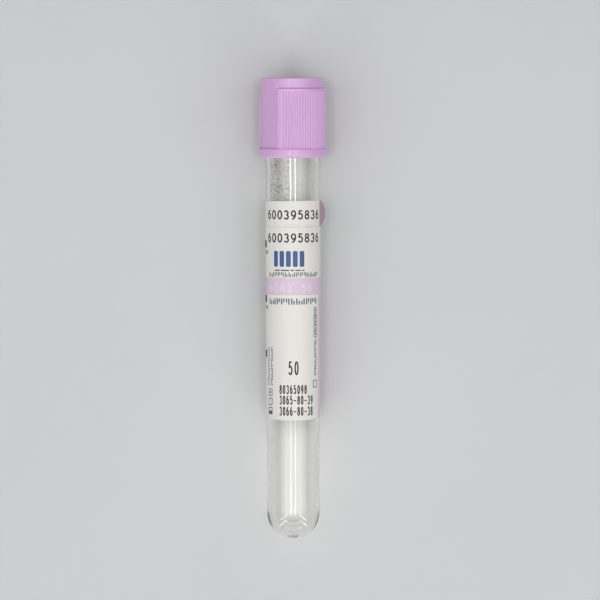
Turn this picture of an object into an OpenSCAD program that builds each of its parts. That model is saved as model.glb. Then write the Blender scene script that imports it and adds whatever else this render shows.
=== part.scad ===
// Evacuated blood collection tube with its closure on, lying on its side.
// Every piece is modelled upright: the outer bottom of the tube is at z = 0, the tube's axis
// is the z axis and the label's front faces -y. lay() then puts it down as it comes to rest,
// on the flange of the cap and on the round bottom, with the cap towards +Y and the label up.

/* [Tube] */
// Length from the round bottom to the rim
tube_len = 100; // [80:1:130]
// Outside diameter at the rim
tube_d = 13; // [10:0.1:16]
// Wall thickness at the rim
tube_wall = 1; // [0.8:0.05:1.3]
// Draft of the wall on each side, in degrees
draft = 0.15; // [0.05:0.01:0.3]
// Thickness in the middle of the round bottom
bottom_wall = 1.6; // [1:0.1:2.4]
// Rounding of both edges of the rim
rim_round = 0.3; // [0.1:0.05:0.35]
// Diameter of the dimple that keeps the moulding gate off the table
gate_dimple_d = 2.4; // [1.6:0.1:3]
// Depth of that dimple, measured from the lowest point of the bottom
gate_dimple_depth = 0.35; // [0.2:0.05:0.5]
// Diameter of the gate mark in the dimple
gate_d = 1; // [0.6:0.1:1.4]

/* [Stopper] */
// Depth of the plug below the rim
plug_depth = 7.6; // [5:0.1:8.5]
// Running clearance between the sealing ribs and the bore, on the radius
seal_clearance = 0.06; // [0.02:0.01:0.1]
// Number of sealing ribs round the plug
seal_ribs = 3; // [1:1:3]
// Height of a sealing rib over the plug
seal_rise = 0.24; // [0.15:0.01:0.35]
// Radius of a sealing rib's round section
seal_round = 0.5; // [0.4:0.05:0.8]
// Wall of the hollow plug
plug_wall = 2; // [1.5:0.1:2.4]
// Depth of the hollow under the plug
hollow_depth = 7; // [4:0.1:8]
// Thickness of the shoulder that seats on the rim
shoulder_t = 2.2; // [1.5:0.1:3]
// How far the neck is set in from the bore
neck_inset = 1.1; // [0.8:0.1:1.4]
// Height of the groove round the neck
groove_h = 1.8; // [1.2:0.1:2.4]
// Height of the head above the groove
head_h = 3.1; // [2:0.1:4]
// Diameter of the dimple that guides the needle
needle_dimple_d = 5.6; // [4:0.1:6]
// Depth of the needle dimple
needle_dimple_depth = 1.4; // [0.5:0.1:1.8]
// Rounding of the rubber's edges
rubber_round = 0.4; // [0.2:0.05:0.6]

/* [Cap] */
// Length of the skirt below the rim of the tube
skirt_len = 8.9; // [8:0.1:11]
// Gap between the tube and the inside of the skirt
skirt_gap = 0.35; // [0.3:0.05:0.6]
// Wall of the skirt behind the smooth recesses
skirt_wall = 0.65; // [0.6:0.05:1]
// Rise of the grip panels over the recesses
panel_rise = 0.5; // [0.3:0.05:0.8]
// Rise of the flange over the recesses
flange_rise = 0.75; // [0.7:0.05:1.5]
// Height of the flange
flange_h = 2.1; // [1.5:0.1:3]
// Rounding of the flange's lower edge
flange_round = 0.5; // [0.2:0.05:0.7]
// Height of the grip panels above the flange
panel_h = 14.4; // [10:0.1:15]
// Arc of each smooth recess between the panels, in degrees
recess_arc = 66.6; // [40:0.1:90]
// Azimuth of the first recess from the label's front, positive to the right
recess_azimuth = -61.7; // [-180:0.1:180]
// Arc from one grip groove to the next, in degrees
groove_pitch = 5; // [4:0.5:10]
// Radius of a grip groove's round section
groove_round = 0.28; // [0.2:0.02:0.34]
// Depth of a grip groove
groove_depth = 0.18; // [0.1:0.01:0.25]
// Smooth border beside the grooves of a panel, in degrees
side_border = 10; // [5:0.5:20]
// Smooth border above the grooves
top_border = 0.6; // [0.3:0.1:2]
// Depth of the open well above the rubber
well_depth = 3; // [2:0.1:5]
// Wall round the well
well_wall = 1.2; // [0.9:0.05:1.6]
// Wall round the head of the stopper
pocket_wall = 1.5; // [1.3:0.05:2]
// Rounding of the two edges round the mouth of the well
mouth_round = 0.3; // [0.1:0.05:0.4]
// Gap between the cap and the rubber that it holds
grip_gap = 0.05; // [0.03:0.01:0.1]
// Number of guide ribs inside the skirt
guide_ribs = 8; // [4:1:12]
// Width of a guide rib
guide_w = 0.6; // [0.4:0.1:1]
// Running clearance between the guide ribs and the tube
guide_clearance = 0.1; // [0.05:0.01:0.1]
// Flare at the mouth of the skirt
skirt_flare = 0.35; // [0.1:0.05:0.4]

/* [Label] */
// Height of the label with its number strip
label_h = 52; // [30:1:60]
// Distance from the skirt down to the label's top edge
label_drop = 10.2; // [5:0.1:12]
// Arc that the label covers, in degrees
label_arc = 325; // [240:1:340]
// Thickness of the paper
paper_t = 0.1; // [0.08:0.01:0.2]
// Layer between the tube and the paper
glue_t = 0.03; // [0.02:0.01:0.06]
// Radius of the label's corners
label_corner = 1.5; // [0.5:0.1:3]
// Height of the peel-off number strip
strip_h = 6; // [4:0.1:10]
// Cut between the strip and the rest of the label
die_cut = 0.15; // [0.05:0.05:0.3]
// Azimuth of the crease where the strip's pull tab leaves the tube
tab_azimuth = 72; // [50:1:100]
// Angle by which the pull tab is bent outwards at the crease
tab_bend = 8; // [5:1:30]
// Length of the pull tab
tab_len = 3.3; // [3:0.1:5]

/* [Hidden] */
$fn = 96;

overcut = 1;

// tube
tube_r = tube_d / 2;
pole_r = tube_r - tube_len * tan(draft);
bottom_r = pole_r * cos(draft) / (1 - sin(draft));
bottom_join = bottom_r * (1 - sin(draft));
bore_r = tube_r - tube_wall;
land_z = tube_len - skirt_len;
bore_pole_r = bore_r - land_z * tan(draft);
bore_bottom_r = (bore_pole_r + bottom_wall * tan(draft)) * cos(draft) / (1 - sin(draft));
bore_join = bottom_wall + bore_bottom_r * (1 - sin(draft));

// stopper
seal_r = bore_r - seal_clearance;
plug_r = seal_r - seal_rise;
plug_z = tube_len - plug_depth;
shoulder_z = tube_len + shoulder_t;
neck_r = bore_r - neck_inset;
head_z = shoulder_z + groove_h;
head_top = head_z + head_h;

// cap
skirt_r = tube_r + skirt_gap;
recess_r = skirt_r + skirt_wall;
panel_r = recess_r + panel_rise;
flange_r = recess_r + flange_rise;
well_r = recess_r - well_wall;
pocket_r = recess_r - pocket_wall;
head_r = pocket_r - grip_gap;
cap_z = tube_len - skirt_len;
flange_top = cap_z + flange_h;
panel_top = flange_top + panel_h;
cap_top = head_top + well_depth;
guide_r = tube_r + guide_clearance;
panel_arc = 180 - recess_arc;
grooves = floor((panel_arc - 2 * side_border) / groove_pitch) + 1;

// label
label_top = cap_z - label_drop;
label_z = label_top - label_h;
strip_z = label_top - strip_h;
sheet_z = strip_z - die_cut;
strip_r = tube_r_at(strip_z + strip_h / 2) + glue_t;
corner_lead = label_corner / 20;

// how the tube lies: the lines that touch the round bottom and the flange's lower edge
reach_z = cap_z + flange_round - bottom_r;
reach_r = flange_r - flange_round;
lift = atan2(reach_r, reach_z) - asin((bottom_r - flange_round) / norm([reach_z, reach_r]));
y_near = bottom_r * cos(lift) - bottom_r;
y_far = (cap_top - mouth_round) * cos(lift) + (recess_r - mouth_round) * sin(lift) + mouth_round;

// Outside radius of the tube's tapered wall at a height
function tube_r_at(z) = pole_r + z * tan(draft);

// Lays an upright piece down, with the middle of the resting object over the origin
module lay() {
    translate([0, -(y_near + y_far) / 2, bottom_r * (1 - sin(lift))])
        rotate([lift - 90, 0, 0])
            children();
}

// Turns a piece that points along +x to an azimuth, 0 at the front and positive to the right
module at_azimuth(a) {
    rotate([0, 0, a - 90])
        children();
}

// What to cut off a square corner at the origin, with material towards +x +y, to round it
module corner(r) {
    difference() {
        translate([-overcut, -overcut])
            square(r + overcut);
        translate([r, r])
            circle(r);
    }
}

// The same cut at a point, with the material to the right or left of it, and above or below
module bite(at, r, left = false, below = false) {
    translate(at)
        mirror([left ? 1 : 0, 0])
            mirror([0, below ? 1 : 0])
                corner(r);
}

// The part of a plan between two azimuths less than half a turn apart
module wedge(r, from, to) {
    far = r / cos((to - from) / 4);
    middle = (from + to) / 2;
    polygon([
        [0, 0],
        far * [sin(from), -cos(from)],
        far * [sin((from + middle) / 2), -cos((from + middle) / 2)],
        far * [sin(middle), -cos(middle)],
        far * [sin((to + middle) / 2), -cos((to + middle) / 2)],
        far * [sin(to), -cos(to)],
    ]);
}

// Section of the tube's outside
module tube_section() {
    translate([0, bottom_r])
        circle(bottom_r);
    polygon([
        [0, bottom_join],
        [tube_r_at(bottom_join), bottom_join],
        [tube_r, tube_len],
        [0, tube_len],
    ]);
}

// Section of the space inside the tube, with a straight land where the stopper seals
module bore_section() {
    translate([0, bottom_wall + bore_bottom_r])
        circle(bore_bottom_r);
    polygon([
        [0, bore_join],
        [bore_pole_r + bore_join * tan(draft), bore_join],
        [bore_r, land_z],
        [bore_r, tube_len + overcut],
        [0, tube_len + overcut],
    ]);
}

module tube() {
    color([0.86, 0.89, 0.90, 0.35])
        lay()
            rotate_extrude()
                intersection() {
                    translate([0, -overcut])
                        square([2 * tube_r, tube_len + 2 * overcut]);
                    union() {
                        difference() {
                            tube_section();
                            bore_section();
                            bite([tube_r, tube_len], rim_round, left = true, below = true);
                            bite([bore_r, tube_len], rim_round, below = true);
                            translate([0, -overcut])
                                square([gate_dimple_d / 2, gate_dimple_depth + overcut]);
                        }
                        square([gate_d / 2, gate_dimple_depth + bottom_wall / 4]);
                    }
                }
}

// Section of the rubber: hollow plug, shoulder, necked groove and head
module stopper_section() {
    seal_step = plug_depth / (seal_ribs + 1);
    difference() {
        union() {
            translate([0, plug_z])
                square([plug_r, plug_depth]);
            for (i = [1 : seal_ribs])
                translate([seal_r - seal_round, plug_z + i * seal_step])
                    circle(seal_round);
            translate([0, tube_len])
                square([tube_r, shoulder_t]);
            translate([0, shoulder_z])
                square([neck_r, groove_h]);
            translate([0, head_z])
                square([head_r, head_h]);
        }
        bite([plug_r, plug_z], rubber_round, left = true);
        bite([tube_r, tube_len], rubber_round, left = true);
        bite([tube_r, shoulder_z], rubber_round, left = true, below = true);
        bite([head_r, head_z], rubber_round, left = true);
        bite([head_r, head_top], rubber_round, left = true, below = true);
        translate([0, head_top - needle_dimple_depth])
            difference() {
                square([needle_dimple_d / 2, needle_dimple_depth + overcut]);
                bite([needle_dimple_d / 2, 0], rubber_round, left = true);
            }
        hollow_section();
    }
}

// Section of the hollow under the plug, with a domed end
module hollow_section() {
    hollow_r = plug_r - plug_wall;
    translate([0, plug_z - overcut])
        square([hollow_r, hollow_depth - hollow_r + overcut]);
    intersection() {
        translate([0, plug_z + hollow_depth - hollow_r])
            circle(hollow_r);
        translate([0, plug_z])
            square([hollow_r, hollow_depth]);
    }
}

module stopper() {
    color([0.62, 0.62, 0.60])
        lay()
            rotate_extrude()
                stopper_section();
}

// Section of the cap without its panels: flanged skirt, web in the rubber's groove and open well
module cap_section() {
    web_z = shoulder_z + grip_gap;
    web_top = head_z - grip_gap;
    difference() {
        union() {
            translate([0, cap_z])
                square([flange_r, flange_h]);
            translate([0, cap_z])
                square([recess_r, cap_top - cap_z]);
        }
        translate([0, cap_z - overcut])
            square([skirt_r, web_z - cap_z + overcut]);
        polygon([
            [skirt_r - overcut, cap_z - overcut],
            [skirt_r + skirt_flare + overcut, cap_z - overcut],
            [skirt_r - overcut, cap_z + skirt_flare + overcut],
        ]);
        square([neck_r + grip_gap, cap_top + overcut]);
        translate([0, web_top])
            square([pocket_r, cap_top]);
        translate([0, head_top])
            square([well_r, cap_top]);
        bite([flange_r, cap_z], flange_round, left = true);
        bite([recess_r, cap_top], mouth_round, left = true, below = true);
        bite([well_r, cap_top], mouth_round, below = true);
    }
}

// Plan of one grip panel, rooted in the skirt's wall
module panel_plan(grooved) {
    root_r = skirt_r + skirt_wall / 2;
    groove_arc = (grooves - 1) * groove_pitch;
    difference() {
        intersection() {
            circle(panel_r);
            wedge(panel_r, -panel_arc / 2, panel_arc / 2);
        }
        circle(root_r);
        if (grooved)
            for (i = [0 : grooves - 1])
                at_azimuth(i * groove_pitch - groove_arc / 2)
                    translate([panel_r - groove_depth + groove_round, 0])
                        circle(groove_round);
    }
}

module grip_panel() {
    root_z = cap_z + flange_h / 2;
    groove_top = panel_top - top_border;
    translate([0, 0, root_z])
        linear_extrude(groove_top - root_z)
            panel_plan(true);
    translate([0, 0, groove_top])
        linear_extrude(top_border)
            panel_plan(false);
}

// Ribs inside the skirt that centre the cap on the tube
module skirt_guides() {
    guide_z = cap_z + flange_h / 2;
    for (i = [0 : guide_ribs - 1])
        rotate([0, 0, i * 360 / guide_ribs])
            translate([guide_r, -guide_w / 2, guide_z])
                cube([skirt_gap - guide_clearance + skirt_wall / 2, guide_w, tube_len - guide_z]);
}

module cap() {
    color([0.80, 0.66, 0.84])
        lay() {
            rotate_extrude()
                cap_section();
            for (side = [0, 180])
                rotate([0, 0, recess_azimuth + 90 + side])
                    grip_panel();
            skirt_guides();
        }
}

// A prism that rounds one corner of a wrapped sheet, with the sheet to its left or right
// and above or below, seen from outside. The round crosses the edges at a slight angle.
module sheet_corner(azimuth, z, left, below) {
    lead = corner_lead * [left ? 1 : -1, below ? 1 : -1];
    translate([0, 0, z])
        at_azimuth(azimuth)
            rotate([90, 0, 90])
                linear_extrude(2 * tube_r)
                    bite(lead, label_corner, left = left, below = below);
}

// A sheet of paper wrapped round the tapered wall, centred on the front
module wrapped_sheet(z, top) {
    at_azimuth(-label_arc / 2)
        rotate_extrude(angle = label_arc)
            polygon([
                [tube_r_at(z) + glue_t, z],
                [tube_r_at(z) + glue_t + paper_t, z],
                [tube_r_at(top) + glue_t + paper_t, top],
                [tube_r_at(top) + glue_t, top],
            ]);
}

module label() {
    color([0.93, 0.93, 0.90])
        lay()
            difference() {
                wrapped_sheet(label_z, sheet_z);
                sheet_corner(-label_arc / 2, label_z, left = false, below = false);
                sheet_corner(label_arc / 2, label_z, left = true, below = false);
                sheet_corner(label_arc / 2, sheet_z, left = true, below = true);
            }
}

// Puts a shape that lies along +y at the crease, bent outwards from the tube
module at_crease() {
    at_azimuth(tab_azimuth)
        translate([strip_r + paper_t / 2, 0])
            rotate([0, 0, -tab_bend])
                children();
}

// Plan of the number strip: it follows the tube as far as the crease and then runs straight
module strip_plan() {
    from = -label_arc / 2;
    halfway = (from + tab_azimuth) / 2;
    lap = 1;
    difference() {
        intersection() {
            circle(strip_r + paper_t);
            union() {
                wedge(strip_r + paper_t, from, halfway + lap);
                wedge(strip_r + paper_t, halfway - lap, tab_azimuth);
            }
        }
        circle(strip_r);
    }
    at_crease()
        translate([-paper_t / 2, -paper_t])
            square([paper_t, tab_len + paper_t]);
}

// What rounds the end of the pull tab to a half circle
module tab_end_cut() {
    at_crease()
        translate([-tube_r, tab_len, strip_z])
            rotate([90, 0, 90])
                linear_extrude(2 * tube_r) {
                    bite([0, 0], strip_h / 2, left = true);
                    bite([0, strip_h], strip_h / 2, left = true, below = true);
                }
}

module number_strip() {
    color([0.86, 0.80, 0.86])
        lay()
            difference() {
                translate([0, 0, strip_z])
                    linear_extrude(strip_h)
                        strip_plan();
                sheet_corner(-label_arc / 2, label_top, left = false, below = true);
                tab_end_cut();
            }
}

tube();
stopper();
cap();
label();
number_strip();
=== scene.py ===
# %% [markdown]
# # A blood collection tube, lying down
# The moving frame comes from the CAD model: two bodies, the tube with its paper and the closure
# that pulls off it. This first cell loads that frame, because every piece made here rides on one
# of its bodies.

import math
import random

import bpy
from mathutils import Matrix, Vector
import numpy as np


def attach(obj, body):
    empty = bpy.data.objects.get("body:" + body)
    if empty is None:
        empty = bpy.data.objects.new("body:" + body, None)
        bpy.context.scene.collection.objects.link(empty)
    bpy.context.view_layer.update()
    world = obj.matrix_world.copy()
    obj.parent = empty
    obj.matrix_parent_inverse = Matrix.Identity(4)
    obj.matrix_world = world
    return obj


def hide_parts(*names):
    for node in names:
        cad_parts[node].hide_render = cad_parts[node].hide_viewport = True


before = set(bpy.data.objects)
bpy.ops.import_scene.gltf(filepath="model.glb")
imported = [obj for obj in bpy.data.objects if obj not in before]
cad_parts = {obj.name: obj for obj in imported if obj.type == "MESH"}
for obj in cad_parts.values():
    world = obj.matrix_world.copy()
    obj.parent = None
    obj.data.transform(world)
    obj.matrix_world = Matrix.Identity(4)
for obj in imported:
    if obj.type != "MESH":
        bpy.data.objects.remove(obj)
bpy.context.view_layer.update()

# %% [markdown]
# ## The driving sizes
# A tube of this kind is a standard part, so a few sizes fix the rest. They are in millimetres and
# belong to an upright tube: the round bottom touches height 0, the axis goes up, and the front of
# the label faces the reader. The draft is the slight taper that lets the moulded tube leave its core.

# %% Driving sizes
TUBE_LENGTH, TUBE_R, WALL = 100.0, 6.5, 1.0
DRAFT = math.tan(math.radians(0.15))
BOTTOM_WALL = 1.6
POLE_R = TUBE_R - TUBE_LENGTH * DRAFT
BOTTOM_R = POLE_R * math.cos(math.atan(DRAFT)) / (1 - math.sin(math.atan(DRAFT)))
BORE_R = TUBE_R - WALL

SKIRT = 8.9
CAP_Z = TUBE_LENGTH - SKIRT
SHOULDER_Z = TUBE_LENGTH + 2.2
HEAD_Z = SHOULDER_Z + 1.8
HEAD_TOP = HEAD_Z + 3.1
CAP_TOP = HEAD_TOP + 3.0
SKIRT_R, RING_R, PANEL_R, FLANGE_R = 6.85, 7.5, 8.0, 8.25
FLANGE_TOP = CAP_Z + 2.1
PANEL_TOP = FLANGE_TOP + 14.4

LABEL_TOP = CAP_Z - 10.2
LABEL_BOTTOM = LABEL_TOP - 52.0
STRIP_BOTTOM = LABEL_TOP - 6.0
SHEET_TOP = STRIP_BOTTOM - 0.15
KNIFE_CUT = 0.04
LABEL_HALF = 325.0 / 2
GLUE, PAPER = 0.03, 0.1


def tube_radius(z):
    return POLE_R + z * DRAFT


print(f"radius at the bottom {tube_radius(0):.3f} mm, at the rim {tube_radius(TUBE_LENGTH):.3f} mm")

# %% [markdown]
# ## Laying it down
# Pieces are made upright, where a tube is easy to think about, and are then laid on the floor as
# the real one comes to rest, on the flange of the cap and on the round bottom. The angle follows
# from the circles that touch the floor, so the pieces land exactly on the CAD model.

# %% Laying the upright pieces down
ROLL_OUT = 0.5
reach_up = CAP_Z + ROLL_OUT - BOTTOM_R
reach_out = FLANGE_R - ROLL_OUT
LIFT = math.atan2(reach_out, reach_up) - math.asin(
    (BOTTOM_R - ROLL_OUT) / math.hypot(reach_up, reach_out))
near = BOTTOM_R * math.cos(LIFT) - BOTTOM_R
far = (CAP_TOP - 0.3) * math.cos(LIFT) + (RING_R - 0.3) * math.sin(LIFT) + 0.3
SHIFT_Y, SHIFT_Z = -(near + far) / 2, BOTTOM_R * (1 - math.sin(LIFT))


def laid(points):
    """Upright millimetres to the metres of the frame."""
    p = np.asarray(points, float).reshape(-1, 3)
    y = p[:, 1] * math.sin(LIFT) + p[:, 2] * math.cos(LIFT) + SHIFT_Y
    z = p[:, 2] * math.sin(LIFT) - p[:, 1] * math.cos(LIFT) + SHIFT_Z
    return np.c_[p[:, 0], y, z] / 1000


print(f"the axis rises {math.degrees(LIFT):.3f} degrees towards the cap")

# %% [markdown]
# ## From numbers to meshes
# Nearly every piece here is round, so one function skins a stack of rings into a mesh. A ring of a
# single point closes the skin at a pole. Edges sharper than a limit, 40 degrees unless a piece sets
# its own, stay crisp. The rest is shaded smooth, which is how moulded and cut things look.

# %% Mesh helpers
def polar(radius, azimuth, z):
    """A point at an azimuth in degrees, 0 at the front and positive to the right."""
    a = np.radians(azimuth)
    return np.stack(np.broadcast_arrays(radius * np.sin(a), -radius * np.cos(a), z), -1)


def mesh_piece(name, points, faces, body, slot=None, crisp=40):
    mesh = bpy.data.meshes.new(name)
    mesh.from_pydata(laid(points).tolist(), [], faces)
    mesh.validate()
    mesh.shade_smooth()
    mesh.set_sharp_from_angle(angle=math.radians(crisp))
    piece = bpy.data.objects.new(name, mesh)
    bpy.context.scene.collection.objects.link(piece)
    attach(piece, body)
    print(f"{name}: {sum(len(f) - 2 for f in faces)} triangles")
    return piece


def skin(rings, loop=False):
    """Points and faces of a skin over rings that go round anticlockwise seen from above, built
    from the outside bottom up and back down the inside, so that its faces look outwards."""
    points, faces, starts = np.vstack(rings), [], np.cumsum([0] + [len(r) for r in rings])
    pairs = list(zip(range(len(rings) - 1), range(1, len(rings))))
    for i, j in pairs + ([(len(rings) - 1, 0)] if loop else []):
        a, b, na, nb = starts[i], starts[j], len(rings[i]), len(rings[j])
        n = max(na, nb)
        for k in range(n):
            m = (k + 1) % n
            if na == 1:
                faces.append((a, b + m, b + k))
            elif nb == 1:
                faces.append((a + k, a + m, b))
            else:
                faces.append((a + k, a + m, b + m, b + k))
    return points, [tuple(int(v) for v in f) for f in faces]


def bend(centre, radius, start, end, steps=6):
    """Points of a round in a section, as (radius, height), between two angles in degrees."""
    return [(centre[0] + radius * math.cos(math.radians(t)),
             centre[1] + radius * math.sin(math.radians(t)))
            for t in np.linspace(start, end, steps + 1)]


def revolved(section, steps):
    """Rings of a section of (radius, height) points turned round the axis."""
    turn = np.arange(steps) * 360 / steps
    return [polar(r, turn if r > 1e-6 else np.zeros(1), z) for r, z in section]


# %% [markdown]
# ## From real finishes to materials
# Colours are written as the hex values of a colour picker and turned to the linear values that
# the renderer wants. One small function adds a shader node with its settings and its inputs, which
# may be values or other nodes' outputs. Pattern scales are worked out from real sizes.

# %% Material helpers
def linear(code):
    parts = [int(code[i:i + 2], 16) / 255 for i in (1, 3, 5)]
    return tuple(c / 12.92 if c <= 0.04045 else ((c + 0.055) / 1.055) ** 2.4 for c in parts) + (1.0,)


def add(tree, kind, inputs=None, **settings):
    """Adds a node with its settings, and sets or links its inputs."""
    made = tree.nodes.new(kind)
    for key, value in settings.items():
        setattr(made, key, value)
    for key, value in (inputs or {}).items():
        if isinstance(value, bpy.types.NodeSocket):
            tree.links.new(value, made.inputs[key])
        else:
            made.inputs[key].default_value = value
    return made


def finish(name):
    """An empty material: its node tree and its output."""
    material = bpy.data.materials.new(name)
    material.use_nodes = True
    tree = material.node_tree
    tree.nodes.clear()
    return material, tree, add(tree, "ShaderNodeOutputMaterial")


def per_metre(size_mm):
    """Noise scale that gives features of about this size."""
    return 1000 / size_mm


# %% [markdown]
# ## Clear PET
# The tube is injection moulded from clear polyethylene terephthalate, with an index of 1.575. It is
# polished by its steel mould, so reflections are sharp, but the cooling wall keeps long faint waves
# along the flow, which make a straight lamp waver in it. Light that only casts a shadow goes
# straight through, as nearly all of it does in a thin clear wall.

# %% Clear PET, injection moulded
clear_pet, tree, out = finish("PET_clear_moulded")
place = add(tree, "ShaderNodeTexCoord")
# flow waves: 2.5 mm across the wall and 18 mm along it
along = add(tree, "ShaderNodeMapping", {"Vector": place.outputs["Object"], "Scale": (1, 0.14, 1)})
waves = add(tree, "ShaderNodeTexNoise", {"Vector": along.outputs[0], "Scale": per_metre(2.5),
                                         "Detail": 1.5, "Roughness": 0.4})
dents = add(tree, "ShaderNodeBump", {"Height": waves.outputs[0], "Strength": 0.16, "Distance": 0.0001})
haze = add(tree, "ShaderNodeTexNoise", {"Vector": place.outputs["Object"], "Scale": per_metre(6),
                                        "Detail": 3})
gloss = add(tree, "ShaderNodeMapRange", {"Value": haze.outputs[0], "From Min": 0.35, "From Max": 0.7,
                                         "To Min": 0.012, "To Max": 0.04})
pet = add(tree, "ShaderNodeBsdfPrincipled", {
    "Base Color": linear("#f9f9f7"), "Transmission Weight": 1.0, "IOR": 1.575,
    "Roughness": gloss.outputs[0], "Normal": dents.outputs[0]})
through = add(tree, "ShaderNodeBsdfTransparent", {"Color": linear("#f2f2f0")})
ray = add(tree, "ShaderNodeLightPath")
wall = add(tree, "ShaderNodeMixShader", {0: ray.outputs["Is Shadow Ray"], 1: pet.outputs[0],
                                         2: through.outputs[0]})
tree.links.new(wall.outputs[0], out.inputs[0])
print("clear PET: index 1.575, flow waves of 2.5 by 18 mm")

# %% [markdown]
# ## The tube
# The wall is one revolved skin: up the outside from the broken-off gate in its dimple, round the
# rim, and down the bore to the thick round bottom. Every corner has its small round, because light
# catches there. Both sides of the wall are needed, since clear plastic bends light at each.

# %% The tube
GATE_R, DIMPLE_R, DIMPLE_DEPTH, SMALL, RIM = 0.5, 1.2, 0.35, 0.08, 0.3
bore_pole = BORE_R - CAP_Z * DRAFT
bore_ball = (bore_pole + BOTTOM_WALL * DRAFT) * math.cos(math.atan(DRAFT)) / (
    1 - math.sin(math.atan(DRAFT)))
dimple_edge = -math.degrees(math.acos(DIMPLE_R / BOTTOM_R))
tube_section = (
    [(0, 0.02)] + bend((GATE_R - SMALL, SMALL), SMALL, -90, 0, 4)
    + bend((GATE_R + SMALL, DIMPLE_DEPTH - SMALL), SMALL, 180, 90, 3)
    + bend((DIMPLE_R - SMALL, DIMPLE_DEPTH - SMALL), SMALL, 90, 0, 3)
    + bend((0, BOTTOM_R), BOTTOM_R, dimple_edge, -0.15, 44)
    + [(tube_radius(z), z) for z in np.linspace(10, 98, 12)]
    + bend((TUBE_R - RIM, TUBE_LENGTH - RIM), RIM, 0, 90, 8)
    + bend((BORE_R + RIM, TUBE_LENGTH - RIM), RIM, 90, 180, 8)
    + [(BORE_R, z) for z in (98, 95, CAP_Z)]
    + [(BORE_R - (CAP_Z - z) * DRAFT, z) for z in np.linspace(84, 8, 11)]
    + bend((0, BOTTOM_WALL + bore_ball), bore_ball, -0.15, -88, 40) + [(0, BOTTOM_WALL)])
tube = mesh_piece("tube_wall", *skin(revolved(tube_section, 192)), "tube", "clear_pet")
tube.data.materials.append(clear_pet)
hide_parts("tube")

# %% [markdown]
# ## Butyl rubber and lavender polyethylene
# The stopper is compression moulded from grey butyl rubber, index 1.52, dull with a fine grain and
# a trace of lubricant. The cap is moulded from polyethylene, index 1.51: satin, a little waxy, and
# light goes a short way into it, which softens every edge. Its colour flows slightly unevenly.

# %% Butyl rubber, compression moulded
rubber, tree, out = finish("Butyl_rubber_moulded")
place = add(tree, "ShaderNodeTexCoord")
mottle = add(tree, "ShaderNodeTexNoise", {"Vector": place.outputs["Object"], "Scale": per_metre(1.6),
                                          "Detail": 6})
tone = add(tree, "ShaderNodeMix", {"Factor": mottle.outputs[0], 6: linear("#7d7b77"),
                                   7: linear("#908e89")}, data_type="RGBA")
# grain drawn at 0.12 mm, coarser than the real one, so that it shows
grain = add(tree, "ShaderNodeTexNoise", {"Vector": place.outputs["Object"], "Scale": per_metre(0.12),
                                         "Detail": 3})
grit = add(tree, "ShaderNodeBump", {"Height": grain.outputs[0], "Strength": 0.35, "Distance": 0.00003})
film = add(tree, "ShaderNodeMapRange", {"Value": mottle.outputs[0], "To Min": 0.45, "To Max": 0.75})
body = add(tree, "ShaderNodeBsdfPrincipled", {"Base Color": tone.outputs[2], "IOR": 1.52,
                                              "Roughness": film.outputs[0], "Normal": grit.outputs[0]})
tree.links.new(body.outputs[0], out.inputs[0])
print("butyl rubber: grain 0.12 mm")

# %% Lavender polyethylene, injection moulded
lavender, tree, out = finish("Polyethylene_lavender_moulded")
place = add(tree, "ShaderNodeTexCoord")
flow = add(tree, "ShaderNodeTexNoise", {"Vector": place.outputs["Object"], "Scale": per_metre(7),
                                        "Detail": 3, "Distortion": 0.6})
tone = add(tree, "ShaderNodeMix", {"Factor": flow.outputs[0], 6: linear("#d3a7d8"),
                                   7: linear("#ddb3e2")}, data_type="RGBA")
# the spark-eroded mould leaves a satin grain, drawn at 0.15 mm so that it shows
satin = add(tree, "ShaderNodeTexNoise", {"Vector": place.outputs["Object"], "Scale": per_metre(0.15),
                                         "Detail": 2})
skin_grain = add(tree, "ShaderNodeBump", {"Height": satin.outputs[0], "Strength": 0.25,
                                          "Distance": 0.00002})
sheen = add(tree, "ShaderNodeMapRange", {"Value": flow.outputs[0], "To Min": 0.34, "To Max": 0.46})
body = add(tree, "ShaderNodeBsdfPrincipled", {
    "Base Color": tone.outputs[2], "IOR": 1.51, "Roughness": sheen.outputs[0],
    "Coat Weight": 0.4, "Coat Roughness": 0.15,
    "Normal": skin_grain.outputs[0], "Subsurface Weight": 0.25,
    "Subsurface Radius": (1.0, 0.6, 0.9), "Subsurface Scale": 0.0008})
tree.links.new(body.outputs[0], out.inputs[0])
print("polyethylene: satin grain 0.15 mm, light goes 0.8 mm deep")

# %% [markdown]
# ## The stopper
# Only its dimpled head shows in the well of the cap until the closure is pulled, but then the plug
# with its sealing ribs shows as well. It is one revolved skin, from the hollow under the plug round
# to the needle dimple on top.

# %% The stopper
PLUG_LENGTH, RIB_ROUND, RIB_PROUD, EDGE = 7.6, 0.5, 0.24, 0.4
PLUG_GAP, HOLLOW_WALL, HOLLOW_DEPTH, NECK_INSET = 0.06, 2.0, 7.0, 1.1
NEEDLE_R, NEEDLE_DEPTH, NEEDLE_EDGE = 2.8, 1.4, 0.1
seal_r = BORE_R - PLUG_GAP
plug_r, plug_z, seal_step = seal_r - RIB_PROUD, TUBE_LENGTH - PLUG_LENGTH, PLUG_LENGTH / 4
hollow_r, neck_r, head_r = plug_r - HOLLOW_WALL, BORE_R - NECK_INSET, 5.95
hollow_top = plug_z + HOLLOW_DEPTH


def seal_rib(z):
    """A rib's round section where it stands out of the plug."""
    reach = math.degrees(math.acos((RIB_ROUND - RIB_PROUD) / RIB_ROUND))
    return bend((seal_r - RIB_ROUND, z), RIB_ROUND, -reach, reach, 10)


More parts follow.
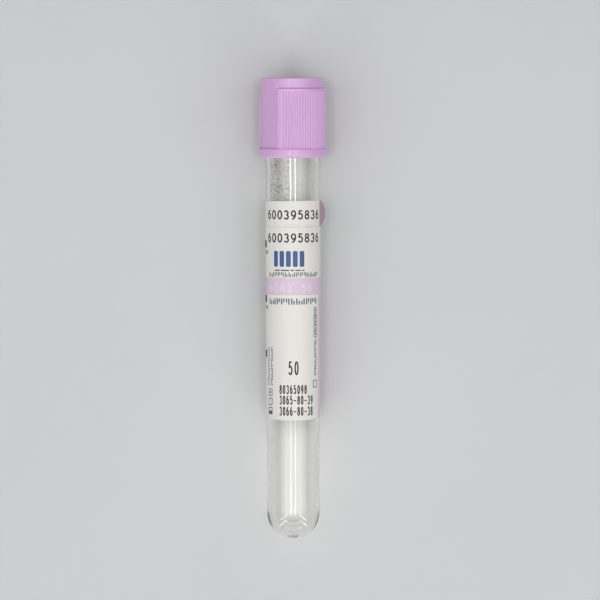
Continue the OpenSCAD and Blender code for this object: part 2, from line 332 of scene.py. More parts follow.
stopper_section = (
    [(0, hollow_top)] + bend((0, hollow_top - hollow_r), hollow_r, 89, 0, 14)
    + bend((hollow_r + 0.1, plug_z + 0.1), 0.1, 180, 270, 3)
    + bend((plug_r - EDGE, plug_z + EDGE), EDGE, -90, 0)
    + seal_rib(plug_z + seal_step)
    + seal_rib(plug_z + 2 * seal_step)
    + seal_rib(plug_z + 3 * seal_step)
    + [(plug_r, TUBE_LENGTH - 0.05), (plug_r + 0.05, TUBE_LENGTH)]
    + bend((TUBE_R - EDGE, TUBE_LENGTH + EDGE), EDGE, -90, 0)
    + bend((TUBE_R - EDGE, SHOULDER_Z - EDGE), EDGE, 0, 90)
    + [(neck_r + 0.05, SHOULDER_Z), (neck_r, SHOULDER_Z + 0.05)]
    + [(neck_r, HEAD_Z - 0.05), (neck_r + 0.05, HEAD_Z)]
    + bend((head_r - EDGE, HEAD_Z + EDGE), EDGE, -90, 0)
    + bend((head_r - EDGE, HEAD_TOP - EDGE), EDGE, 0, 90)
    + bend((NEEDLE_R + NEEDLE_EDGE, HEAD_TOP - NEEDLE_EDGE), NEEDLE_EDGE, 90, 180, 4)
    + bend((NEEDLE_R - EDGE, HEAD_TOP - NEEDLE_DEPTH + EDGE), EDGE, 0, -90)
    + [(0, HEAD_TOP - NEEDLE_DEPTH)])
stopper = mesh_piece("rubber_stopper", *skin(revolved(stopper_section, 160)),
                     "closure", "butyl_rubber")
stopper.data.materials.append(rubber)
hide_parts("stopper")

# %% [markdown]
# ## The cap
# The cap is one moulding with two opposite grip panels that stand half a millimetre proud of smooth
# recesses. Each panel has fine upright grooves with soft edges and a smooth border. A mould can't
# make knife edges, so the surface is computed as a height over the recess: the distance to the
# panel's rounded outline gives its soft step, and the distance to the nearest groove its dip.

# %% The grip panels as a height
RECESS = 66.6
PANEL_CENTRES, PANEL_HALF = (28.3, -151.7), (180 - RECESS) / 2
GROOVES, GROOVE_PITCH, GROOVE_DEPTH, GROOVE_HALF = 19, 5.0, 0.18, 0.28
GROOVE_TOP = PANEL_TOP - 0.6
CORNER, SOFT = 0.5, 0.15


def smooth(t):
    t = np.clip(t, 0, 1)
    return t * t * (3 - 2 * t)


def grip_rise(azimuth, z):
    """Height of the panels over the recess, in millimetres."""
    rise = np.zeros_like(azimuth)
    for centre in PANEL_CENTRES:
        across = (azimuth - centre + 180) % 360 - 180
        side = np.radians(np.abs(across) - PANEL_HALF) * PANEL_R + CORNER
        top = z - PANEL_TOP + CORNER
        edge = np.minimum(np.maximum(side, top), 0) + np.hypot(
            np.maximum(side, 0), np.maximum(top, 0)) - CORNER
        panel = (PANEL_R - RING_R) * smooth((SOFT - edge) / (2 * SOFT))
        aside = np.radians(across - GROOVE_PITCH * np.round(across / GROOVE_PITCH)) * PANEL_R
        away = np.hypot(aside, max(0.0, z - GROOVE_TOP + GROOVE_HALF)) / GROOVE_HALF
        grooved = (np.abs(across) < GROOVES / 2 * GROOVE_PITCH) & (away < 1)
        panel -= np.where(grooved, GROOVE_DEPTH * (0.5 + 0.5 * np.cos(np.pi * away)), 0)
        rise = np.maximum(rise, panel)
    return rise


print("rise at the middle of a groove", grip_rise(np.array(PANEL_CENTRES[:1]), 100.0).round(3), "mm")

# %% [markdown]
# The skin starts at the flange's rounded foot, climbs the wall, crosses the rim of the well and
# comes back down inside: well, pocket of the rubber's head, web in the rubber's groove, and skirt
# with the eight ribs that centre it on the tube. Rows are close together only where the form turns.

# %% The cap
COLUMNS = 960
FOOT_R, FLARE_R, FOOT_ROUND, FLANGE_EDGE = 7.45, 7.15, 0.5, 0.12
turn = np.arange(COLUMNS) * 360 / COLUMNS
cap_rings = [polar(r, turn, z) for r, z in (
    [(FOOT_R, CAP_Z)]
    + bend((FLANGE_R - FOOT_ROUND, CAP_Z + FOOT_ROUND), FOOT_ROUND, -90, 0, 8)
    + bend((FLANGE_R - FLANGE_EDGE, FLANGE_TOP - FLANGE_EDGE), FLANGE_EDGE, 0, 90, 4))]
foot_rise = grip_rise(turn, FLANGE_TOP + 0.2)
for out_of_wall, up in ((0.07, 0.0), (0.02, 0.03), (0.0, 0.09)):
    cap_rings.append(polar(RING_R + out_of_wall + foot_rise, turn, FLANGE_TOP + up))
groove_end = np.arange(GROOVE_TOP - 0.3, GROOVE_TOP + 0.06, 0.05)
panel_end = np.arange(GROOVE_TOP + 0.1, PANEL_TOP + 0.18, 0.04)
for z in [FLANGE_TOP + 0.6, 97.0, 102.0, *groove_end, *panel_end, PANEL_TOP + 0.6, CAP_TOP - 0.7]:
    cap_rings.append(polar(RING_R + grip_rise(turn, z), turn, z))
well_r, pocket_r, web_r = 6.3, 6.0, neck_r + 0.05
LIP, RIB_HALF, RIB_SOFT, RIB_REACH, RIB_SPACING = 0.3, 0.34, 0.08, 0.25, 45
cap_rings += [polar(r, turn, z) for r, z in (
    bend((RING_R - LIP, CAP_TOP - LIP), LIP, 0, 90)
    + bend((well_r + LIP, CAP_TOP - LIP), LIP, 90, 180)
    + [(well_r, HEAD_TOP + 0.1), (well_r - 0.05, HEAD_TOP + 0.02), (pocket_r + 0.03, HEAD_TOP),
       (pocket_r, HEAD_TOP - 0.05), (pocket_r, HEAD_Z), (pocket_r - 0.05, HEAD_Z - 0.05),
       (web_r + 0.05, HEAD_Z - 0.05), (web_r, HEAD_Z - 0.1), (web_r, SHOULDER_Z + 0.1),
       (web_r + 0.05, SHOULDER_Z + 0.05), (SKIRT_R - 0.1, SHOULDER_Z + 0.05),
       (SKIRT_R, SHOULDER_Z - 0.05)])]
rib_arc = np.radians((turn + RIB_SPACING / 2) % RIB_SPACING - RIB_SPACING / 2) * SKIRT_R
rib_form = smooth((RIB_HALF - np.abs(rib_arc)) / RIB_SOFT)
for z, amount in ((TUBE_LENGTH + 0.06, 0), (TUBE_LENGTH, 1), (96.0, 1), (CAP_Z + 1.11, 1),
                  (CAP_Z + 1.05, 0), (CAP_Z + 0.4, 0)):
    cap_rings.append(polar(SKIRT_R - RIB_REACH * amount * rib_form, turn, z))
cap_rings.append(polar(FLARE_R, turn, CAP_Z + 0.04))
cap = mesh_piece("cap_shell", *skin(cap_rings, loop=True), "closure", "lavender_polyethylene",
                 crisp=55)
cap.data.materials.append(lavender)
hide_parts("cap")

# %% [markdown]
# ## Paper and inks
# The label is coated paper, index 1.5: bright and nearly matt, with short fibres just felt in its
# surface. It is printed by offset, which lays thin ink that lets a little of the paper's mottle
# through. Each ink is named for its colour, and the same small function mixes them all.

# %% Coated paper and offset inks
def paper_like(name, light, dark, mottle_mm, roughness, relief):
    """A thin printed or bare sheet whose tone varies between two colours."""
    material, tree, out = finish(name)
    place = add(tree, "ShaderNodeTexCoord")
    cloud = add(tree, "ShaderNodeTexNoise", {"Vector": place.outputs["Object"], "Detail": 4,
                                             "Scale": per_metre(mottle_mm)})
    tone = add(tree, "ShaderNodeMix", {"Factor": cloud.outputs[0], 6: linear(dark), 7: linear(light)},
               data_type="RGBA")
    # fibres are about 0.02 by 1 mm; they are drawn 0.18 mm apart so that they show
    fibre = add(tree, "ShaderNodeTexNoise", {"Vector": place.outputs["Object"], "Detail": 2,
                                             "Scale": per_metre(0.18)})
    felt = add(tree, "ShaderNodeBump", {"Height": fibre.outputs[0], "Strength": relief,
                                        "Distance": 0.00002})
    face = add(tree, "ShaderNodeBsdfPrincipled", {"Base Color": tone.outputs[2], "IOR": 1.5,
                                                  "Roughness": roughness, "Normal": felt.outputs[0]})
    tree.links.new(face.outputs[0], out.inputs[0])
    return material


coated_paper = paper_like("Paper_coated_white", "#ebe9e4", "#e4e2dd", 5.0, 0.55, 0.3)
lilac_print = paper_like("Paper_printed_lilac", "#e3cfdf", "#dac3d7", 1.2, 0.5, 0.3)
mauve_print = paper_like("Paper_printed_mauve", "#b599a6", "#a78b98", 1.2, 0.5, 0.3)
white_ink = paper_like("Ink_white_thin", "#f0def0", "#e9d5ea", 0.6, 0.5, 0.2)
black_ink = paper_like("Ink_black_offset", "#1d1b1e", "#121114", 0.5, 0.6, 0.2)
navy_ink = paper_like("Ink_navy_offset", "#141730", "#0d0f22", 0.5, 0.65, 0.2)
blue_ink = paper_like("Ink_blue_offset", "#48639b", "#365289", 0.9, 0.5, 0.2)
slate_ink = paper_like("Ink_slate_offset", "#5d6380", "#474d69", 0.4, 0.5, 0.2)
grey_ink = paper_like("Ink_grey_offset", "#5f6668", "#474e50", 0.4, 0.5, 0.2)
# painted shade: this pale grey stands in for the shade along the edges of the knife cut
cut_shade_paint = paper_like("Paper_painted_shade_at_cut", "#d8d6cf", "#cfccc6", 0.6, 0.5, 0.2)
print("papers and inks:", len([m for m in bpy.data.materials if m.name.startswith(("Paper", "Ink"))]))

# %% [markdown]
# ## The label
# The label is a die-cut sheet wrapped round the taper, with a narrow window left open at the back
# so that the level of the blood can be read. A grid of front and back points makes it a real sheet
# with cut edges. Columns and rows fall on the borders of the lilac print, so each face has one ink.

# %% A wrapped sheet
def sheet(front, back, ink_of=None):
    """Points, faces and ink numbers of a closed sheet from grids of its front and back points,
    with rows that go up and columns that go right."""
    rows, columns = front.shape[:2]
    n = rows * columns
    at = np.arange(n).reshape(rows, columns)
    a, b, c, d = at[:-1, :-1], at[:-1, 1:], at[1:, 1:], at[1:, :-1]
    front_faces = np.stack([a, b, c, d], -1).reshape(-1, 4)
    back_faces = n + front_faces[:, ::-1]
    low, high, left, right = at[0], at[-1], at[:, 0], at[:, -1]
    rim = [np.stack([low[:-1], n + low[:-1], n + low[1:], low[1:]], -1),
           np.stack([high[1:], n + high[1:], n + high[:-1], high[:-1]], -1),
           np.stack([left[1:], n + left[1:], n + left[:-1], left[:-1]], -1),
           np.stack([right[:-1], n + right[:-1], n + right[1:], right[1:]], -1)]
    faces = np.vstack([front_faces, back_faces, *rim])
    inks = [0] * len(faces)
    if ink_of:
        centres = (front[:-1, :-1] + front[1:, 1:]).reshape(-1, 3) / 2
        inks[:len(centres)] = [ink_of(p) for p in centres]
    points = np.vstack([front.reshape(-1, 3), back.reshape(-1, 3)])
    return points, [tuple(int(v) for v in f) for f in faces], inks


LABEL_CORNER = 1.5


def rounded_end(depth, corner=LABEL_CORNER):
    """How far a corner's round sets an edge in, at a depth below it, in millimetres."""
    d = np.clip(depth, 0, corner)
    return corner - np.sqrt(corner ** 2 - (corner - d) ** 2)


# %% The label
BAND_LOW, BAND_HIGH, FIELD_FROM = 58.55, 62.65, 65.5
# the radius at which millimetres across the label are turned into degrees
LABEL_R = 6.55
MM_TO_DEG = 180 / math.pi / LABEL_R
ends = LABEL_CORNER * (1 - np.cos(np.linspace(0, math.pi / 2, 9)))
heights = np.unique(np.round(np.concatenate([
    LABEL_BOTTOM + ends, np.arange(32, 58, 2.0), [BAND_LOW, 60.5, BAND_HIGH], np.arange(64, 73, 2.0),
    SHEET_TOP - ends]), 4))
azimuths = np.unique(np.concatenate([np.arange(-160, 161, 2.5), [FIELD_FROM, -LABEL_HALF, LABEL_HALF]]))
az, z = np.meshgrid(azimuths, heights)
inset = rounded_end(z - LABEL_BOTTOM) * MM_TO_DEG
inset_right = np.maximum(inset, rounded_end(SHEET_TOP - z) * MM_TO_DEG)
# the columns of the last degrees are drawn in to follow the rounded corners
END_ZONE = 22.5
near_end = LABEL_HALF - END_ZONE
az = np.where(az > near_end, near_end + (az - near_end) * (END_ZONE - inset_right) / END_ZONE, az)
az = np.where(az < -near_end, -near_end + (az + near_end) * (END_ZONE - inset) / END_ZONE, az)
# both ends of the sheet stand a trace off the tube
END_CURL, CURL_FROM, CURL_OVER = 0.07, 155, 7.5
curl = END_CURL * smooth((np.abs(az) - CURL_FROM) / CURL_OVER)
# the lower edge is cut with a slight bow, so it hangs lowest at the front
BOW, BOW_DROP, BOW_REACH = 0.64, 0.16, 3
bowed = BOW * (1 - np.cos(np.radians(np.minimum(np.abs(az), 90)))) - BOW_DROP
z = z + bowed * np.clip(1 - (z - LABEL_BOTTOM) / BOW_REACH, 0, 1)
back_r = tube_radius(z) + GLUE + curl


def label_ink(p):
    azimuth = math.degrees(math.atan2(p[0], -p[1]))
    banded = BAND_LOW < p[2] < BAND_HIGH
    return 1 if banded or (azimuth > FIELD_FROM and p[2] < BAND_HIGH) else 0


points, faces, inks = sheet(polar(back_r + PAPER, az, z), polar(back_r, az, z), label_ink)
label = mesh_piece("paper_label", points, faces, "tube", "label_paper", crisp=50)
label.data.materials.append(coated_paper)
label.data.materials.append(lilac_print)
label.data.polygons.foreach_set("material_index", inks)
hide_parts("label")

# %% [markdown]
# ## The number strip and its pull tab
# The strip was cut out of the top of the same sheet. On the right it ends in a half-round mauve tab
# that isn't stuck down: it leaves the tube at a crease and curls outwards a little. The path of the
# strip is walked step by step, turning with the tube as far as the crease and straightening after.

# %% The number strip
CREASE, TAB_STRAIGHT, TAB_ROUND = 72.0, 0.3, 3.0
TAB = TAB_STRAIGHT + TAB_ROUND
# the last column stops just short of the tip, where the tab would have no height
SHORT_OF_TIP = 0.985
strip_r = tube_radius((STRIP_BOTTOM + LABEL_TOP) / 2) + GLUE
on_tube = np.radians(np.unique(np.append(np.arange(-160, CREASE, 2.5), [-LABEL_HALF, CREASE])))
in_tab = TAB * np.sin(np.linspace(0, math.pi / 2, 25)[1:] * SHORT_OF_TIP)
walk = np.concatenate([on_tube * strip_r, math.radians(CREASE) * strip_r + in_tab])
past = np.clip(walk - math.radians(CREASE) * strip_r, 0, None)
# the tab leans out by 4 degrees at its crease, more as it goes, and 16 further near its tip
lean = 4 * smooth(past / 0.4) + 1.2 * past + 16 * smooth((past - 2.2) / 1.1)
heading = np.where(past > 0, CREASE - lean, np.degrees(walk / strip_r))
path = [polar(strip_r, np.degrees(walk[0] / strip_r), 0.0)]
for i in range(1, len(walk)):
    middle = math.radians((heading[i] + heading[i - 1]) / 2)
    path.append(path[-1] + (walk[i] - walk[i - 1]) * np.array([math.cos(middle), math.sin(middle), 0]))
path = np.array(path)
outward = np.stack([np.sin(np.radians(heading)), -np.cos(np.radians(heading)), 0 * heading], -1)
into_round = np.clip(past - TAB_STRAIGHT, 0, None)
half_round = TAB_ROUND - np.sqrt(np.clip(TAB_ROUND ** 2 - into_round ** 2, 0, None))
left_round = rounded_end(walk - walk[0])
# the strip was laid a touch askew, so its top edge climbs to the right
SKEW = 0.0075
askew = SKEW * np.clip(walk, -12, 12)
low_edge = SHEET_TOP + KNIFE_CUT + half_round
high_edge = LABEL_TOP + askew - np.maximum(half_round, left_round)
grid = [path + np.outer(low_edge + v * (high_edge - low_edge), [0, 0, 1])
        for v in np.linspace(0, 1, 13)]
taper = np.array([[(p[2] - (STRIP_BOTTOM + LABEL_TOP) / 2) * DRAFT for p in row] for row in grid])
back = np.array(grid) + taper[..., None] * outward
MAUVE_FROM = CREASE + 2
points, faces, inks = sheet(
    back + PAPER * outward, back,
    lambda p: 1 if math.degrees(math.atan2(p[0], -p[1])) > MAUVE_FROM else 0)
strip = mesh_piece("paper_number_strip", points, faces, "tube", "strip_paper", crisp=50)
strip.data.materials.append(coated_paper)
strip.data.materials.append(mauve_print)
strip.data.polygons.foreach_set("material_index", inks)
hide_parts("number_strip")

# %% [markdown]
# ## Drawing in ink
# What is printed is drawn in millimetres on the unrolled label: across from its middle, and up from
# the bottom of the tube. Each mark is a thin closed layer of ink a hundredth of a millimetre thick
# that follows the wall. Lines are swept ribbons, so a numeral is a few short strokes and bows, as a
# sign writer would draw it. The wording of such labels is left out: fields of colour, plain bars
# and plain numbers stand in its place.

# %% Ink marks
INK, INK_STEP, LIFT_OFF = 0.012, 0.0004, 0.001


def on_label(across, up, height):
    radius = tube_radius(up) + GLUE + PAPER + height
    return polar(radius, across * MM_TO_DEG, up)


def ribbon(line, width, closed=False):
    """A grid of two edges along a line of (across, up) points."""
    p = np.array(line, float)
    ahead = np.roll(p, -1, 0) - p if closed else np.diff(p, axis=0, append=[2 * p[-1] - p[-2]])
    behind = p - np.roll(p, 1, 0) if closed else np.diff(p, axis=0, prepend=[2 * p[0] - p[1]])
    ahead, behind = (v / np.maximum(np.linalg.norm(v, axis=1, keepdims=True), 1e-9)
                     for v in (ahead, behind))
    side = np.stack([-(ahead + behind)[:, 1], (ahead + behind)[:, 0]], -1)
    side /= np.maximum((side ** 2).sum(1, keepdims=True), 0.8) / 2
    edges = np.array([p - side * width / 2, p + side * width / 2])
    return np.concatenate([edges, edges[:, :1]], 1) if closed else edges


def block(left, low, width, height, corner=0.0):
    """A grid over an upright rectangle, with its corners rounded if asked."""
    steps = max(2, int(width / 0.3) + 1)
    inner = np.linspace(left + corner, left + width - corner, steps)
    turn = corner * (1 - np.cos(np.linspace(0, math.pi / 2, 6)[:-1])) if corner else np.zeros(0)
    across = np.concatenate([left + turn, inner, (left + width - turn)[::-1]])
    cut = 0 * across
    if corner:
        cut = rounded_end(np.minimum(across - left, left + width - across), corner)
    return np.array([np.stack([across, low + cut + v * (height - 2 * cut)], -1)
                     for v in np.linspace(0, 1, 4)])


def printed(name, marks, ink, slot="label_paper"):
    """One piece of ink from many marks, each a grid of (across, up) points. Marks next to each
    other in the list differ a little in thickness, so their fronts don't coincide if they cross."""
    points, faces, start = [], [], 0
    for k, mark in enumerate(marks):
        rise = INK + INK_STEP * (k % 9)
        across, up = mark[..., 0], mark[..., 1]
        p, f, _ = sheet(on_label(across, up, rise), on_label(across, up, LIFT_OFF))
        points.append(p)
        faces += [tuple(v + start for v in face) for face in f]
        start += len(p)
    piece = mesh_piece(name, np.vstack(points), faces, "tube", slot)
    piece.data.materials.append(ink)
    return piece


# %% Numerals
def bow(centre, size, start, end, steps=14):
    t = np.radians(np.linspace(start, end, steps + 1))
    return [(centre[0] + size[0] * math.cos(a), centre[1] + size[1] * math.sin(a)) for a in t]


# strokes in a box one wide and one high
STROKES = {
    "0": [bow((0.5, 0.5), (0.5, 0.5), 90, 450, 24)],
    "3": [bow((0.46, 0.75), (0.43, 0.25), 160, -90, 16),
          bow((0.46, 0.26), (0.5, 0.26), 90, -160, 16)],
    "5": [[(0.94, 1.0), (0.2, 1.0), (0.1, 0.52)],
          bow((0.46, 0.33), (0.5, 0.33), 136, -155, 18)],
    "6": [bow((0.5, 0.32), (0.48, 0.32), 180, 540, 20),
          bow((0.76, 0.34), (0.74, 0.66), 180, 78, 12)],
    "8": [bow((0.5, 0.76), (0.42, 0.24), -90, 270, 20),
          bow((0.5, 0.27), (0.5, 0.27), 90, 450, 22)],
    "9": [bow((0.5, 0.68), (0.48, 0.32), 0, 360, 20),
          bow((0.24, 0.66), (0.74, 0.66), 0, -102, 12)],
    "-": [[(-0.3, 0.46), (1.3, 0.46)]],
}


def numerals(text, first, low, width, height, pitch, weight):
    """Marks for a row of numerals. The weight is the width of the stroke, in millimetres."""
    marks = []
    for k, numeral in enumerate(text):
        left = first + k * pitch - width / 2
        for stroke in STROKES.get(numeral, []):
            line = [(left + weight / 2 + x * (width - weight), low + weight / 2 + y * (height - weight))
                    for x, y in stroke]
            closed = math.dist(line[0], line[-1]) < weight / 50
            marks.append(ribbon(line[:-1] if closed else line, weight, closed))
    return marks


print("numerals drawn from", sum(len(s) for s in STROKES.values()), "strokes")

# %% [markdown]
# ## What is printed
# Two equal rows of large numbers sit on the strip and on the label under it, so that the strip can
# be moved to a form and still match. Below come five blue bars, rows of small upright bars, numbers
# on the lilac band, two larger numerals, a block of narrow stamped numbers, and columns of small
# bars and boxes at both sides. Round the left side dark bars head the fields that are filled in by
# hand, each with a thin rule under it. None of it says anything.

# %% Numbers
NUMBER, PITCH = "600395836", 1.686
big = dict(first=-4 * PITCH + 0.14, width=1.3, height=2.24, pitch=PITCH, weight=0.35)
printed("ink_number_on_strip", numerals(NUMBER, low=76.5, **big), black_ink, "strip_paper")
printed("ink_number_on_label", numerals(NUMBER, low=71.02, **big), black_ink)
narrow = dict(first=-3.12, width=0.66, height=2.17, pitch=0.89, weight=0.25)
stamped = (numerals("80365098", low=35.02, **narrow) + numerals("3065-80-39", low=32.5, **narrow)
           + numerals("3066-80-38", low=29.86, **narrow))
large = numerals("50", first=-0.62, low=39.55, width=1.02, height=3.3, pitch=1.45, weight=0.34)
printed("ink_stamped_numbers", stamped + large, black_ink)
printed("ink_numbers_on_band", numerals("6083 56", first=-6.05, low=59.25, width=1.22, height=1.95,
                                        pitch=1.73, weight=0.3), white_ink)

# %% Fields of colour and lines of small marks
bars = [block(-4.95 + k * 1.64, 65.3, 1.16, 3.75, 0.3) for k in range(5)]
printed("ink_blue_bars", bars, blue_ink)
dashes = [(-4.75, 1.5), (-3.0, 2.1), (-0.6, 0.9), (0.55, 1.35), (2.15, 0.7)]
printed("ink_thin_line", [block(left, 64.3, width, 0.3, 0.1) for left, width in dashes], grey_ink)

# a small mark is two upright bars in a cell, each with its left side, its foot and its height
FULL, UPPER, LOWER = (0.0, 1.0), (0.36, 0.64), (0.0, 0.64)
CELLS = [[(0.0, *FULL), (0.56, *LOWER)], [(0.0, *UPPER), (0.56, *FULL)],
         [(0.0, *FULL), (0.56, *UPPER)], [(0.0, *LOWER), (0.56, *FULL)]]
BAR = 0.32


def small_marks(places, width, height, lying=False):
    """Bars without meaning, with the weight of a line of small print. In a line that runs along
    the tube the bars lie across it."""
    cells = [(left, low, *bar) for k, (left, low) in enumerate(places)
             for bar in CELLS[(k * 7 + k // 3) % 4]]
    if lying:
        return [block(left + b * width, low + a * height, c * width, BAR * height)
                for left, low, a, b, c in cells]
    return [block(left + a * width, low + b * height, BAR * width, c * height)
            for left, low, a, b, c in cells]


grey_row = [(-6.6 + k * 0.925, 62.88) for k in range(15)]
slate_row = [(-6.65 + k * 1.235, 56.35) for k in range(11)]
printed("ink_grey_marks", small_marks(grey_row, 0.72, 1.12), grey_ink)
printed("ink_slate_marks", small_marks(slate_row, 1.0, 1.42), slate_ink)

# %% Side columns
LINE, FRAME_HALF, FRAME_TOP, CROSSBAR = 0.2, 0.62, 53.91, 0.18


def empty_box(left, low, width, height, line=LINE):
    """The four sides of a box that is filled in by hand."""
    sides = [(left, low, width, line), (left, low + height - line, width, line),
             (left, low, line, height), (left + width - line, low, line, height)]
    return [block(*side) for side in sides]


RIGHT = math.radians(54.5) * LABEL_R
# a ring with a dot in it
right_marks = [ribbon(bow((RIGHT, 54.95), (0.52, 0.62), 0, 360, 20)[:-1], LINE, closed=True),
               block(RIGHT - 0.2, 54.75, 0.4, 0.4, 0.12)]
# a frame of three cells, with the dots that stand in them
for low, high in ((48.5, 50.6), (50.6, 52.9), (52.9, 54.0)):
    right_marks += [block(RIGHT - FRAME_HALF, low, LINE, high - low),
                    block(RIGHT + FRAME_HALF - LINE, low, LINE, high - low),
                    block(RIGHT - FRAME_HALF, low - CROSSBAR / 2, 2 * FRAME_HALF, CROSSBAR)]
right_marks.append(block(RIGHT - FRAME_HALF, FRAME_TOP, 2 * FRAME_HALF, CROSSBAR))
right_marks += [block(RIGHT - 0.26, z, 0.52, 0.46, 0.08) for z in (49.0, 49.75, 51.2, 51.95, 53.2)]
right_places = [(RIGHT - 0.4, 39.4 + k * 0.98) for k in range(9)]
right_marks += small_marks(right_places, 0.8, 0.86, lying=True)
right_marks += empty_box(RIGHT - 0.85, 36.45, 1.4, 1.8)
printed("ink_right_column", right_marks, grey_ink)
LEFT = (-math.radians(62.5) * LABEL_R, -math.radians(51.0) * LABEL_R)
left_places = [(x - 0.34, 37.1 + k * 0.76) for x in LEFT for k in range(12)]
left_marks = small_marks(left_places, 0.68, 0.7, lying=True)
middle = sum(LEFT) / 2
for low in (34.6, 32.4, 30.2):
    left_marks += empty_box(middle - 0.8, low - 0.1, 1.6, 1.7)
left_marks += [block(middle - 0.3, 35.1, 0.6, 0.5), block(middle - 0.7, 30.2, 1.4, 0.75)]
printed("ink_left_columns", left_marks, slate_ink)
# the fields filled in by hand
FIELD_LEFT = -17.0
headings, rules = [], []
HEADING_WIDE, HEADING_TALL, RULE_RIGHT, RULE_BELOW = 8.75, 1.72, -9.2, 3.6
for z in (69.75, 56.72, 43.6):
    headings.append(block(FIELD_LEFT, z, HEADING_WIDE, HEADING_TALL, 0.2))
    rules.append(ribbon([(x, z - RULE_BELOW) for x in np.linspace(FIELD_LEFT, RULE_RIGHT, 24)],
                        0.12))
printed("ink_headings", headings, navy_ink)
hints = small_marks([(-9.1 + k * 0.62, z) for z in (68.2, 55.1) for k in range(3)], 0.5, 0.9)
printed("ink_rules", rules + hints, grey_ink)
# painted shade: faint grey dashes on each side of the knife cut stand in for the shade of its edges
painted_cut_shade = [ribbon([(x, z) for x in np.linspace(a, b, 12)], 0.09)
            for z in (74.62, 75.28) for a, b in ((-2.1, 1.75), (3.0, 4.8))]
printed("painted_shade_at_cut", painted_cut_shade, cut_shade_paint)

# %% [markdown]
# ## The dried additive
# An anticoagulant is sprayed on the inside of the wall and dries there in fine drops. Each one is a
# low dome with a slightly uneven outline, a hair off the wall so that the two don't share a face.
# They lie thick in the upper left of the tube, where the spray landed, and sparse elsewhere.

# %% Additive, sprayed and dried
additive, tree, out = finish("Additive_dried_drops")
place = add(tree, "ShaderNodeTexCoord")
frost = add(tree, "ShaderNodeTexNoise", {"Vector": place.outputs["Object"], "Scale": per_metre(0.3),
                                         "Detail": 3})
dry = add(tree, "ShaderNodeMapRange", {"Value": frost.outputs[0], "To Min": 0.03, "To Max": 0.22})
drop = add(tree, "ShaderNodeBsdfPrincipled", {"Base Color": linear("#e0dfdb"), "IOR": 1.42,
                                              "Transmission Weight": 0.88, "Roughness": dry.outputs[0]})
tree.links.new(drop.outputs[0], out.inputs[0])


def bore_radius(z):
    return BORE_R - max(0.0, CAP_Z - z) * DRAFT


random.seed(13)
DROP_GAP, SIDES = 0.006, 12
points, faces, start, count = [], [], 0, 0
# a drop's section, as parts of its radius and its height
PROFILE = ((0, 0), (1, 0), (0.86, 0.42), (0.52, 0.84), (0, 1))
# how many drops, between which azimuths and heights, and the least and greatest radius
sprays = [(600, (-88, -4), (79.5, 90.6), (0.07, 0.21)), (60, (-4, 80), (80, 90.6), (0.05, 0.13)),
          (60, (90, 270), (79.5, 90.6), (0.06, 0.14)), (60, (-180, 180), (8, 28), (0.05, 0.11))]
for number, (az_from, az_to), (z_from, z_to), (small_r, large_r) in sprays:
    for _ in range(number):
        az, z = random.uniform(az_from, az_to), random.uniform(z_from, z_to)
        size = small_r + (large_r - small_r) * random.random() ** 1.8
        tall = size * random.uniform(0.38, 0.56)
        lobes, phase = random.choice((2, 3)), random.uniform(0, 2 * math.pi)
        wobble = random.uniform(0.04, 0.14)
        rings = []
        for reach, rise in PROFILE:
            t = np.arange(SIDES) * 2 * math.pi / SIDES if reach else np.zeros(1)
            out_by = size * reach * (1 + wobble * np.sin(lobes * t + phase))
            radius = bore_radius(z) - DROP_GAP - tall * rise
            azimuth = az - np.degrees(out_by * np.cos(t) / radius)
            rings.append(polar(radius, azimuth, z + out_by * np.sin(t)))
        p, f = skin(rings)
        points.append(p)
        faces += [tuple(v + start for v in face) for face in f]
        start, count = start + len(p), count + 1
drops = mesh_piece("additive_drops", np.vstack(points), faces, "tube", "clear_pet", crisp=70)
drops.data.materials.append(additive)
print(count, "drops")

# %% [markdown]
# ## Floor, light and camera
# The floor is plain, pale and matt. Most of the light is soft and even, so that colours render as
# they are written. Two long narrow lamps hang close to the line of sight, one on each side: a
# polished round wall turns them into two fine bright lines from end to end.

# %% Floor
floor_paint, tree, out = finish("Board_painted_pale_grey")
place = add(tree, "ShaderNodeTexCoord")
cloud = add(tree, "ShaderNodeTexNoise", {"Vector": place.outputs["Object"], "Scale": per_metre(60),
                                         "Detail": 4})
tone = add(tree, "ShaderNodeMix", {"Factor": cloud.outputs[0], 6: linear("#cccdce"), 7: linear("#d1d2d3")},
           data_type="RGBA")
face = add(tree, "ShaderNodeBsdfPrincipled", {"Base Color": tone.outputs[2], "Roughness": 0.85,
                                              "IOR": 1.45})
tree.links.new(face.outputs[0], out.inputs[0])
FLOOR_HALF = 3
corners = [(x * FLOOR_HALF, y * FLOOR_HALF, 0) for x, y in ((-1, -1), (1, -1), (1, 1), (-1, 1))]
board = bpy.data.meshes.new("floor")
board.from_pydata(corners, [], [(0, 1, 2, 3)])
board.materials.append(floor_paint)
floor = bpy.data.objects.new("floor", board)
bpy.context.scene.collection.objects.link(floor)
print("floor", 2 * FLOOR_HALF, "m square")

# %% Light
world = bpy.data.worlds.new("studio")
world.use_nodes = True
bpy.context.scene.world = world
world.node_tree.nodes["Background"].inputs["Color"].default_value = linear("#f2f2f2")
world.node_tree.nodes["Background"].inputs["Strength"].default_value = 0.12


def lamp(name, place, size, brightness, along=(0, 1, 0)):
    """A rectangular lamp that faces the tube, with its long side along the tube or another way.
    A brightness of 1 is white to look at."""
    data = bpy.data.lights.new(name, "AREA")
    data.shape, data.size, data.size_y = "RECTANGLE", size[0], size[1]
    data.energy = brightness * math.pi * size[0] * size[1]
    made = bpy.data.objects.new(name, data)
    out = Vector(place).normalized()
    side = Vector(along).cross(out).normalized()
    made.location = place
    made.rotation_euler = Matrix((side, out.cross(side), out)).transposed().to_euler()
    bpy.context.scene.collection.objects.link(made)


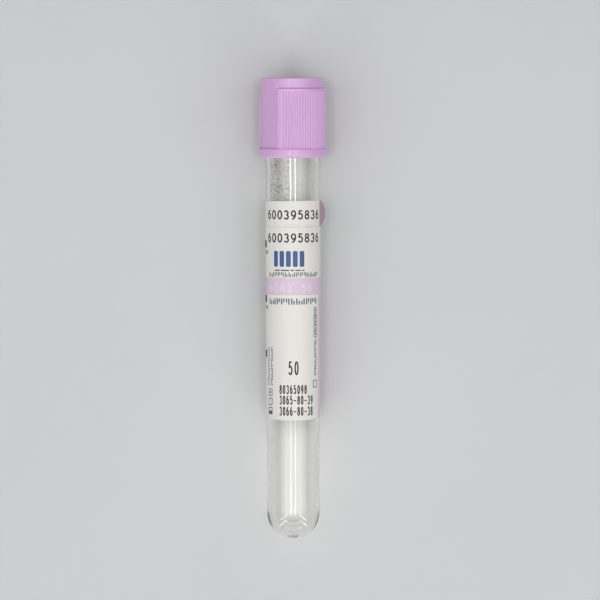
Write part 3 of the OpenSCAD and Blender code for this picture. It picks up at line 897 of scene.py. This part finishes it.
# the far parts of the two long lamps are bright and their near parts dim
LAMP_AWAY = 0.7
for name, angle, width in (("strip_left", -10.9, 0.030), ("strip_right", 10.3, 0.024)):
    a = math.radians(angle)
    for part, along, length, brightness in (("bright", 0.06, 0.26, 13.0), ("dim", -0.14, 0.14, 3.2)):
        hung = (LAMP_AWAY * math.sin(a), along, LAMP_AWAY * math.cos(a))
        lamp(f"{name}_{part}", hung, (width, length), brightness)
# a wide soft box and two dimmer ones beside it span 62 degrees to each side
lamp("soft_above", (0, 0, 1.3), (2.36, 1.42), 1.32)
SOFT_AWAY, SOFT_ANGLE = 1.1, math.radians(52)
for name, side in (("soft_left", -1), ("soft_right", 1)):
    hung = (side * SOFT_AWAY * math.sin(SOFT_ANGLE), 0, SOFT_AWAY * math.cos(SOFT_ANGLE))
    lamp(name, hung, (0.39, 1.2), 0.75)
# two upright strips and a soft box beyond the round bottom
for name, x in (("strip_near_left", -0.68), ("strip_near_right", 0.68)):
    lamp(name, (x, -0.73, 0.45), (0.10, 0.95), 6.0, along=(0, 0, 1))
lamp("soft_near_end", (0, -1.0, 0.25), (1.1, 0.3), 1.8)
print(len(bpy.data.lights), "lamps")

# %% Camera
TIP, ROLL, AWAY = math.radians(2.86), math.radians(-0.08), 1.1
LENS_MM, SENSOR_MM = 276.6, 36
AIM_RIGHT, AIM_UP = 0.00166, 0.00206
centre = laid([(0, 0, CAP_TOP / 2)])[0]
along_axis = np.array([0, math.cos(LIFT), math.sin(LIFT)])
towards_label = np.array([0, -math.sin(LIFT), math.cos(LIFT)])
back_off = towards_label * math.cos(TIP) + along_axis * math.sin(TIP)
aim = centre + np.array([AIM_RIGHT, 0, 0]) + along_axis * AIM_UP
camera = bpy.data.objects.new("camera", bpy.data.cameras.new("camera"))
camera.data.lens, camera.data.sensor_width = LENS_MM, SENSOR_MM
camera.location = aim + AWAY * back_off
look = Vector(back_off)
right = Vector((1, 0, 0))
upward = look.cross(right)
right, upward = (right * math.cos(ROLL) + upward * math.sin(ROLL),
                 upward * math.cos(ROLL) - right * math.sin(ROLL))
camera.rotation_euler = Matrix((right, upward, look)).transposed().to_euler()
bpy.context.scene.collection.objects.link(camera)
bpy.context.scene.camera = camera
bpy.context.scene.view_settings.view_transform = "Standard"
print("camera at", [round(v, 3) for v in camera.location])
